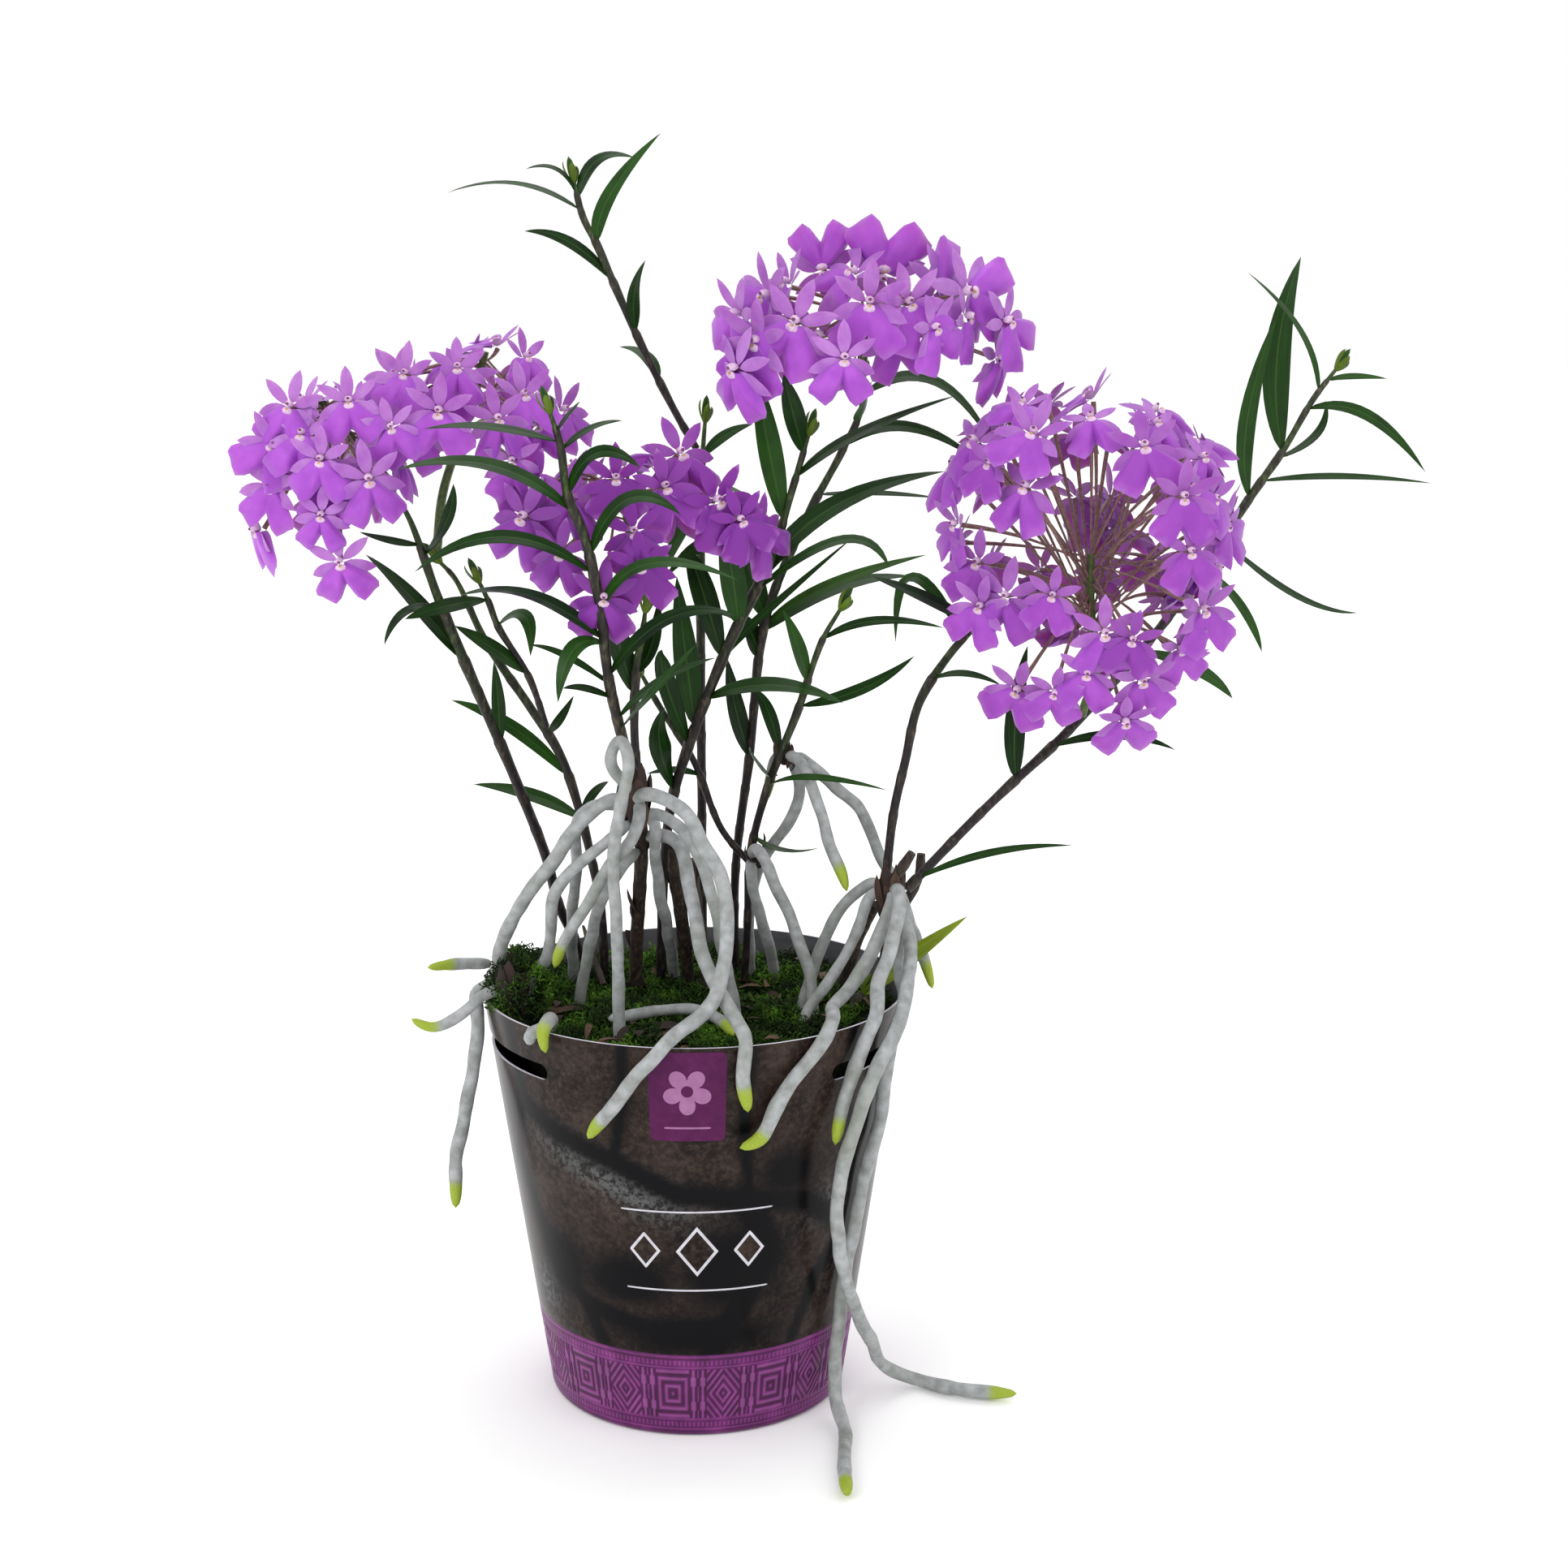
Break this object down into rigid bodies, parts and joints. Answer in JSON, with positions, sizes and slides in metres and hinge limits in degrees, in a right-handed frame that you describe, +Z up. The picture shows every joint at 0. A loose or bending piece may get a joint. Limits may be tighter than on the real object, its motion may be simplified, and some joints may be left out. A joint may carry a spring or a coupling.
{
  "type": "potted orchid",
  "caption": "Reed-stem orchid with purple flower heads, leafy canes and long aerial roots, in a tapered printed cover pot with handle slots.",
  "frame": {"origin": "middle of the cover pot's flat base, on the surface that it stands on", "axes": "+Z up along the pot's axis, -Y to the front of the plant, +X to the viewer's right"},
  "size_m": [0.4292, 0.178, 0.4434],
  "materials": {
    "printed_plastic": "thin printed plastic with a satin-gloss face, grey inside",
    "nursery_plastic": "thin black nursery plastic",
    "bark": "coarse pine bark mix",
    "moss": "live moss, soft and fibrous",
    "leafy_cane": "living leaf and cane, satin",
    "old_cane": "dry cane with papery sheaths",
    "root_skin": "velamen, silvery, slightly knobbly, green tips",
    "petal": "soft petals with a fine sheen"
  },
  "bodies": {
    "root": {"bark_mix": "bark", "base_cane_right": "old_cane", "cover_pot": "printed_plastic", "cut_stub_long": "old_cane", "cut_stub_short": "old_cane", "dead_twig": "old_cane", "flower_head_left": "petal", "flower_head_left_upper": "petal", "flower_head_middle": "petal", "flower_head_right": "petal", "flower_head_top": "petal", "grow_pot": "nursery_plastic", "moss_bed": "moss", "moss_clump": "moss", "old_cane_front": "old_cane", "old_cane_left": "old_cane", "old_cane_middle": "old_cane", "plantlet_shoot_dark": "leafy_cane", "plantlet_shoot_leafy": "leafy_cane", "root_centre_back": "root_skin", "root_fan_left": "root_skin", "root_fan_over_front": "root_skin", "root_fan_over_right": "root_skin", "root_fan_second": "root_skin", "root_front_inner": "root_skin", "root_left_hanging": "root_skin", "root_left_inner": "root_skin", "root_left_outer": "root_skin", "root_left_thin": "root_skin", "root_long_front": "root_skin", "root_long_right": "root_skin", "root_looped": "root_skin", "root_middle_back": "root_skin", "root_middle_thin": "root_skin", "root_on_moss": "root_skin", "root_over_front_middle": "root_skin", "root_over_front_rim": "root_skin", "root_over_left_rim": "root_skin", "root_right_arching": "root_skin", "root_right_middle": "root_skin", "root_right_short": "root_skin", "root_right_thick": "root_skin", "root_side_lower": "root_skin", "root_side_upper": "root_skin", "root_tip_left": "root_skin", "shoot_centre_back": "leafy_cane", "shoot_centre_front": "leafy_cane", "shoot_centre_side": "leafy_cane", "shoot_crossing": "leafy_cane", "shoot_left_back": "leafy_cane", "shoot_left_front": "leafy_cane", "shoot_left_side": "leafy_cane", "shoot_right_out": "leafy_cane", "shoot_right_up": "leafy_cane", "shoot_small_right": "leafy_cane", "shoot_top": "leafy_cane", "shoot_upright": "leafy_cane"}
  },
  "joints": []
}
